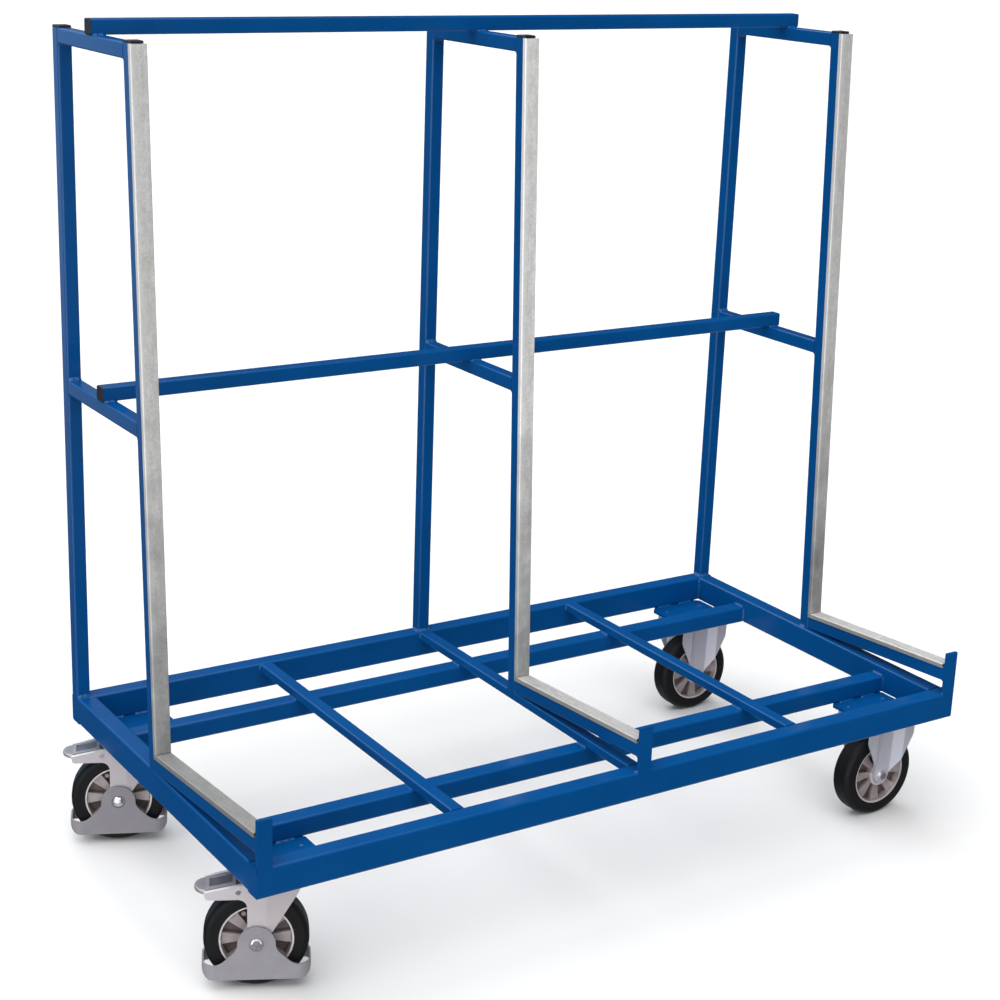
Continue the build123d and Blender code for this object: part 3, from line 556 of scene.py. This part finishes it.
# Camera fitted to the photograph's straight edges
camera_data = bpy.data.cameras.new("camera")
camera_data.sensor_width = 36.0
camera_data.lens = 70.72085
camera_data.shift_x = 0.0077895
camera_data.shift_y = -0.0164206
camera = bpy.data.objects.new("camera", camera_data)
camera.location = (-2.255472 + middle_x, -3.318522, 2.022109)
camera.rotation_euler = [math.radians(angle) for angle in (72.95687, -1.95773, -32.44365)]
bpy.context.scene.collection.objects.link(camera)
bpy.context.scene.camera = camera


# Pale floor and backdrop; the paint mirrors neither, as in a studio with a dark far side
def stage_piece(name, mesh, material):
    mesh.materials.append(material)
    piece = bpy.data.objects.new(name, mesh)
    bpy.context.scene.collection.objects.link(piece)
    piece.visible_diffuse = False
    piece.visible_glossy = False
    piece.visible_shadow = False


floor_half = 40.0
dome_radius = 0.95 * floor_half
dome_foot = -0.01
floor_mesh = bpy.data.meshes.new("floor")
floor_corners = [(sx * floor_half, sy * floor_half, 0) for sx, sy in ((-1, -1), (1, -1), (1, 1), (-1, 1))]
floor_mesh.from_pydata(floor_corners, [], [(0, 1, 2, 3)])
floor_material, _, floor_shader, _ = start_material("pale_floor", 0.0, 0.2)
floor_shader.inputs["Base Color"].default_value = grey(0.80)
floor_shader.inputs["Roughness"].default_value = 0.9
stage_piece("floor", floor_mesh, floor_material)

dome = bmesh.new()
bmesh.ops.create_uvsphere(dome, u_segments=48, v_segments=24, radius=dome_radius)
bmesh.ops.delete(dome, geom=[v for v in dome.verts if v.co.z < dome_foot], context="VERTS")
backdrop_mesh = bpy.data.meshes.new("backdrop")
dome.to_mesh(backdrop_mesh)
dome.free()
backdrop_material = bpy.data.materials.new("pale_backdrop")
backdrop_material.use_nodes = True
backdrop_tree = backdrop_material.node_tree
glow = add(backdrop_tree, "ShaderNodeEmission", Color=grey(1.0), Strength=1.0)
backdrop_tree.links.new(glow.outputs[0], backdrop_tree.nodes["Material Output"].inputs["Surface"])
backdrop_material.cycles.emission_sampling = "NONE"
stage_piece("backdrop", backdrop_mesh, backdrop_material)


# Studio light: a wide soft ceiling, a bluish wall behind, a front left side with a tall strip light, a right fill.
# Each is a patch of directions with soft edges, and its last number is its strength.
strip_light_x, strip_light_y = -0.838, -0.545


def studio_light():
    world = bpy.data.worlds.new("studio")
    bpy.context.scene.world = world
    world.use_nodes = True
    tree = world.node_tree
    background = tree.nodes["Background"]
    toward = add(tree, "ShaderNodeTexCoord").outputs["Generated"]
    x, y, z = add(tree, "ShaderNodeSeparateXYZ", Vector=toward).outputs

    def fade(value, start, end):
        return remap(tree, value, start, end, 0.0, 1.0, "SMOOTHSTEP")

    def times(*values):
        total = values[0]
        for value in values[1:]:
            total = math_node(tree, "MULTIPLY", total, value)
        return total

    ceiling = times(fade(z, 0.45, 0.75), fade(x, 0.50, 0.15), 2.7)
    below = times(fade(z, -0.5, -0.7), 0.5)
    wall_width = times(fade(y, 0.2, 0.5), fade(x, -0.41, -0.35), fade(x, 0.4, 0.2))
    wall = times(wall_width, fade(z, -0.42, 0.00), fade(z, 0.6, 0.2), 1.2)
    front_left = times(fade(y, 0.3, 0.0), fade(x, 0.36, 0.1), fade(z, -0.4, -0.3), fade(z, 0.6, 0.4), 1.25)
    right_fill = times(fade(x, 0.70, 0.85), fade(y, -0.50, -0.35), fade(z, -0.5, -0.3), fade(z, 0.6, 0.4), 0.9)
    aside = math_node(tree, "SUBTRACT", times(x, strip_light_y), times(y, strip_light_x))
    across = math_node(tree, "ABSOLUTE", aside)
    strip_width = times(fade(across, 0.07, 0.04), fade(x, -0.2, -0.4))
    tall_strip = times(strip_width, fade(z, -0.48, -0.40), fade(z, 0.45, 0.25), 5.0)
    strength = 0.03
    for patch in (ceiling, below, wall, front_left, right_fill, tall_strip):
        strength = math_node(tree, "ADD", patch, strength)
    feed(tree, background.inputs["Strength"], strength)
    feed(tree, background.inputs["Color"], mix(tree, wall, grey(1.0), (0.42, 0.66, 1.0, 1.0)))


studio_light()
bpy.context.scene.view_settings.view_transform = "Standard"
